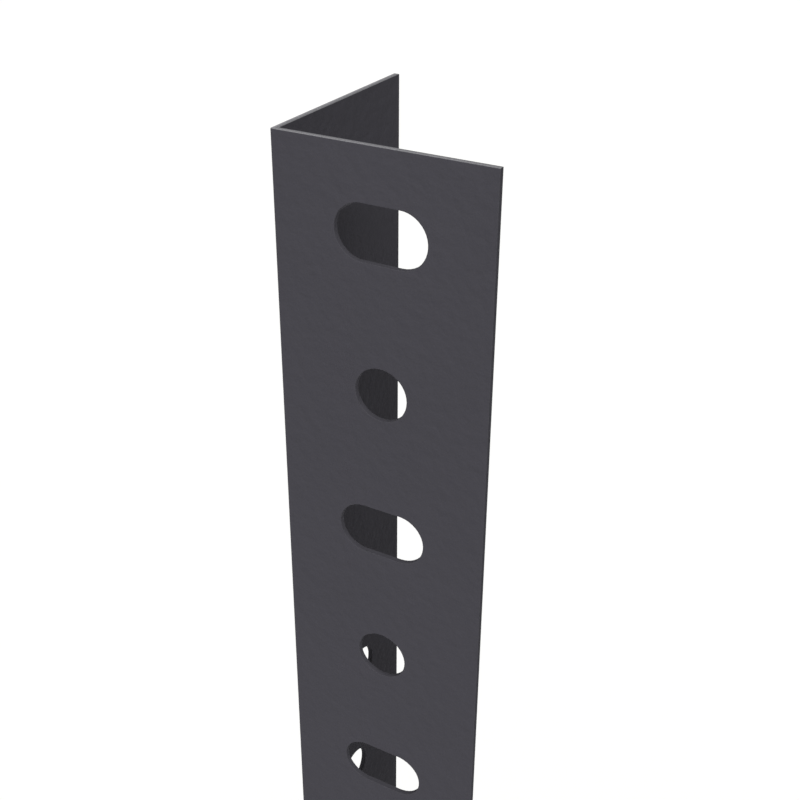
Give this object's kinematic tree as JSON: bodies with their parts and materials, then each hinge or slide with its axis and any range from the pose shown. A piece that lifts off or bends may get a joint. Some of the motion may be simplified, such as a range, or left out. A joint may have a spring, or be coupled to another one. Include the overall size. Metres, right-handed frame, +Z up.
{
  "type": "shelving upright",
  "caption": "Equal-leg slotted steel angle: an upright of bolt-together shelving, with slots and round holes in turn down the middle of both legs.",
  "frame": {"origin": "middle of the square that the two legs span, on the floor under the foot", "axes": "+Z up the bar; the front leg's outer face looks along -Y and the side leg's along -X; the fold (heel) is at -X -Y"},
  "size_m": [0.0336, 0.0336, 1],
  "materials": {
    "anthracite_paint": "matt anthracite paint over steel strip"
  },
  "bodies": {
    "root": {"angle_upright": "anthracite_paint"}
  },
  "joints": []
}
